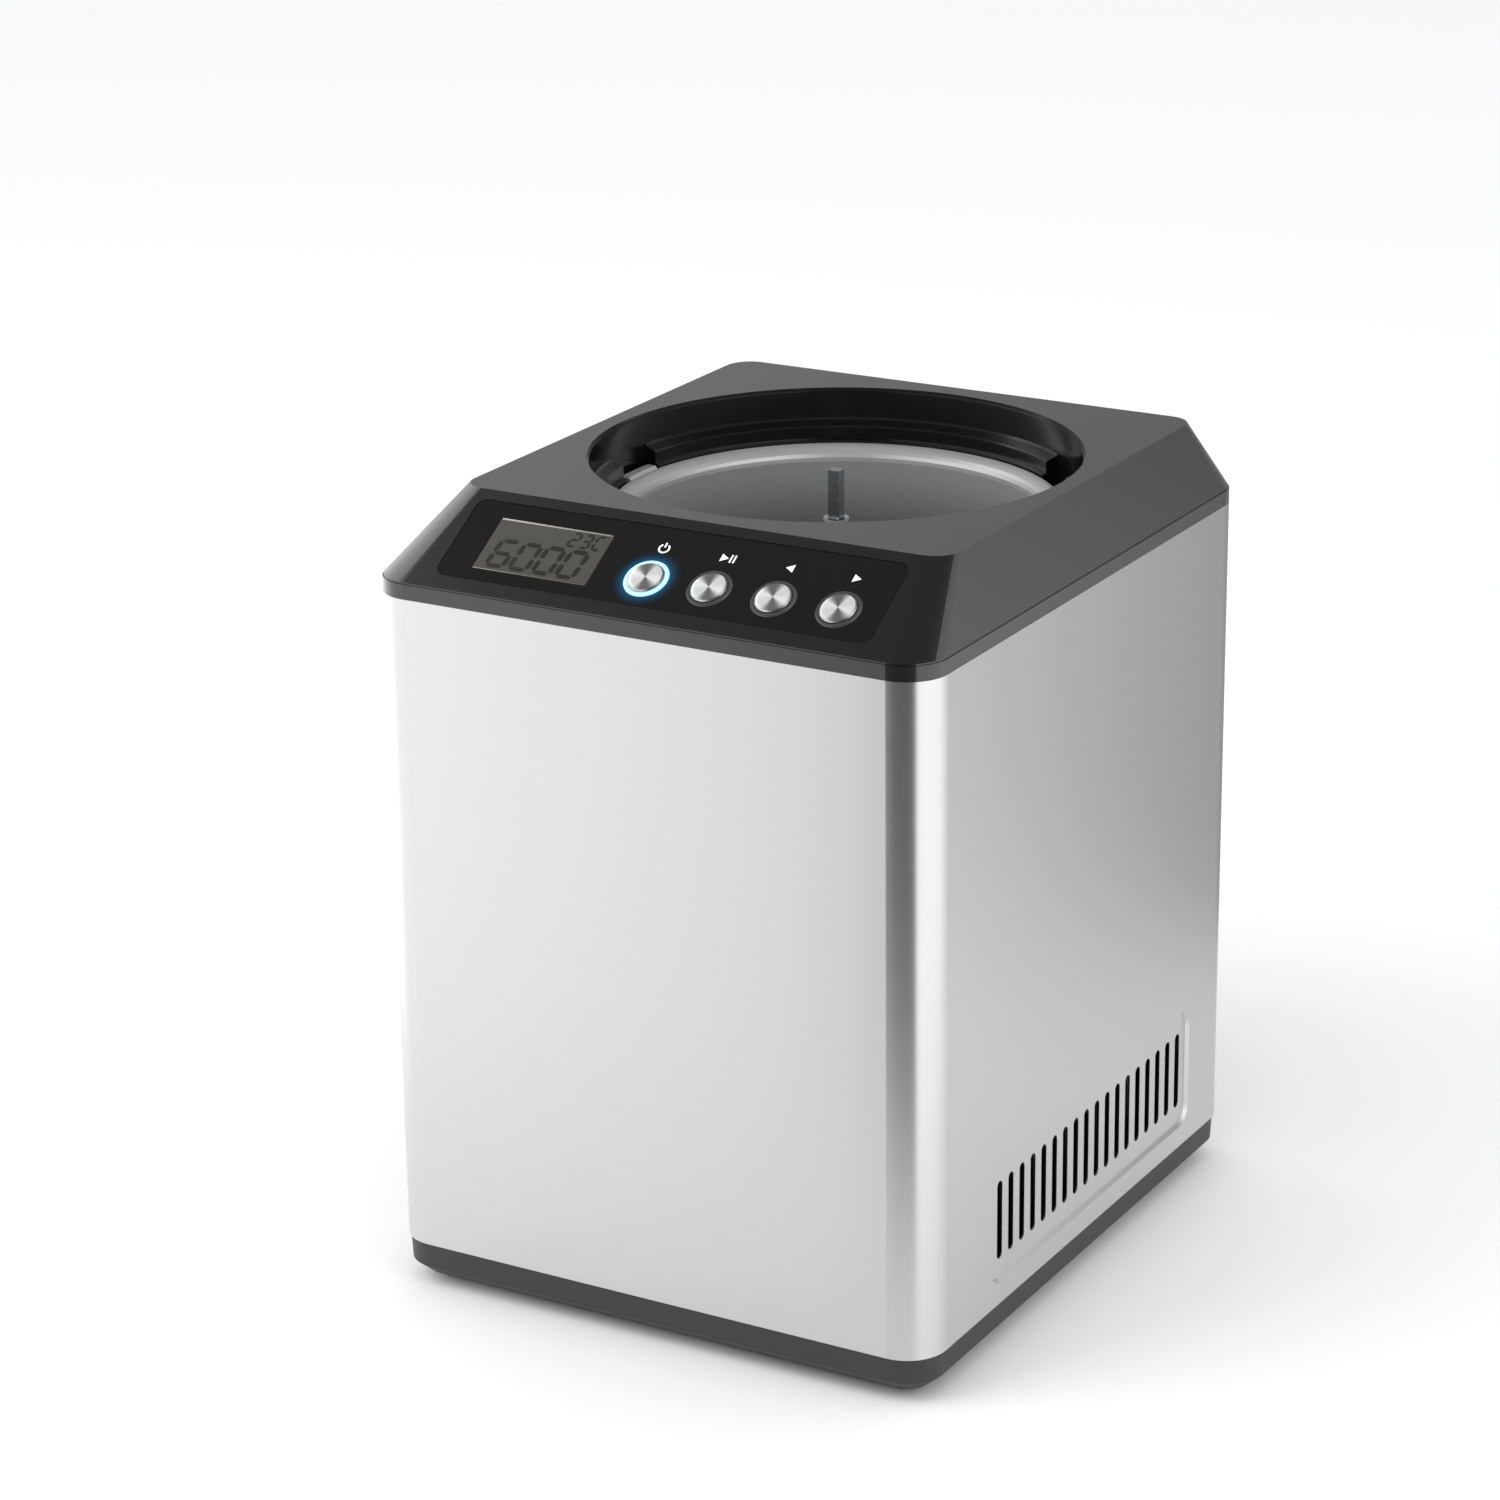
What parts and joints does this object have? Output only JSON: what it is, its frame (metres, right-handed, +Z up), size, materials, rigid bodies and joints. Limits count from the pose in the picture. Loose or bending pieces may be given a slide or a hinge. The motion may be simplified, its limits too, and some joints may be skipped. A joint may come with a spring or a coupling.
{
  "type": "frozen dessert and yogurt maker",
  "caption": "Box-shaped countertop yogurt and ice-cream maker with brushed steel walls, black bevelled top, round well with a removable bowl, sloped control panel and side air vents.",
  "frame": {"origin": "on the table under the middle of the body", "axes": "+Z up, front and controls towards -Y, +X to the right seen from the front"},
  "size_m": [0.275, 0.315, 0.3684],
  "materials": {
    "steel": "brushed",
    "cover_plastic": "satin",
    "base_plastic": "satin",
    "collar_plastic": "satin",
    "overlay_gloss": "gloss",
    "display_clear": "gloss",
    "display_body": "satin",
    "board_green": "satin",
    "board_parts": "satin",
    "black_plastic": "satin",
    "button_metal": "spun",
    "light_ring": "lit",
    "rubber": "matte",
    "zinc": "plated",
    "deck_plastic": "satin",
    "tub_metal": "satin",
    "bowl_metal": "satin",
    "copper": "drawn",
    "foam": "matte",
    "shaft_steel": "ground",
    "machine_steel": "plain",
    "black_paint": "semi-gloss",
    "fin_aluminium": "plain"
  },
  "bodies": {
    "housing": {"base_tray": "base_plastic", "feet": "rubber", "foot_screws": "zinc", "steel_wrap": "steel", "rear_cover": "cover_plastic", "rear_screws": "zinc", "cord_gland": "rubber", "tie_rods": "zinc", "top_cover": "cover_plastic", "lid_collar": "collar_plastic", "control_overlay": "overlay_gloss", "display_window": "display_clear", "display_module": "display_body", "control_board": "board_green", "tact_switches": "black_plastic", "power_light_ring": "light_ring", "button_bezels": "black_plastic", "mid_deck": "deck_plastic", "cooling_tub": "tub_metal", "evaporator_coil": "copper", "tub_insulation": "foam", "tub_gasket": "rubber", "shaft_seal": "rubber", "bearing_housing": "machine_steel", "shaft_bearings": "shaft_steel", "drive_belt": "rubber", "motor_stator": "machine_steel", "motor_brackets": "zinc", "motor_windings": "copper", "compressor_shell_lower": "black_paint", "compressor_shell_upper": "black_paint", "compressor_core": "machine_steel", "compressor_bracket": "black_paint", "compressor_grommets": "rubber", "compressor_bolts": "zinc", "terminal_cover": "black_plastic", "condenser_fins": "fin_aluminium", "condenser_tube": "copper", "condenser_frame": "zinc", "fan_frame": "black_plastic", "filter_drier": "copper", "discharge_line": "copper", "liquid_line": "copper", "suction_line": "copper", "capillary_tube": "copper", "board_bracket": "zinc", "power_board": "board_green", "power_board_parts": "board_parts", "wiring_loom": "rubber"},
    "bowl": {"bowl": "bowl_metal"},
    "drive_train": {"drive_shaft": "shaft_steel", "drive_pulley": "black_plastic"},
    "motor_armature": {"motor_shaft": "shaft_steel", "motor_rotor": "machine_steel", "motor_pulley": "black_plastic"},
    "fan_rotor": {"fan_rotor": "black_plastic"},
    "power_button": {"power_button": "button_metal"},
    "start_button": {"start_button": "button_metal"},
    "back_button": {"back_button": "button_metal"},
    "forward_button": {"forward_button": "button_metal"}
  },
  "joints": [
    {"name": "bowl_lift", "type": "slide", "parent": "housing", "child": "bowl", "axis": [0, 0, 1], "range_m": [0, 0.15]},
    {"name": "drive_spin", "type": "hinge", "parent": "housing", "child": "drive_train", "pos_m": [0, 0.0171, 0.2], "axis": [0, 0, 1], "continuous": true},
    {"name": "motor_spin", "type": "hinge", "parent": "housing", "child": "motor_armature", "pos_m": [0, -0.125, 0.24], "axis": [0, 0, 1], "continuous": true},
    {"name": "fan_spin", "type": "hinge", "parent": "housing", "child": "fan_rotor", "pos_m": [0.078, 0.008, 0.078], "axis": [1, 0, 0], "continuous": true},
    {"name": "power_press", "type": "slide", "parent": "housing", "child": "power_button", "axis": [0, 0.5215, -0.8533], "range_m": [0, 0.001], "stiffness_N_per_m": 300},
    {"name": "start_press", "type": "slide", "parent": "housing", "child": "start_button", "axis": [0, 0.5215, -0.8533], "range_m": [0, 0.001], "stiffness_N_per_m": 300},
    {"name": "back_press", "type": "slide", "parent": "housing", "child": "back_button", "axis": [0, 0.5215, -0.8533], "range_m": [0, 0.001], "stiffness_N_per_m": 300},
    {"name": "forward_press", "type": "slide", "parent": "housing", "child": "forward_button", "axis": [0, 0.5215, -0.8533], "range_m": [0, 0.001], "stiffness_N_per_m": 300}
  ],
  "couplings": [
    {"joint": "motor_spin", "follows": "drive_spin", "ratio": 5}
  ]
}
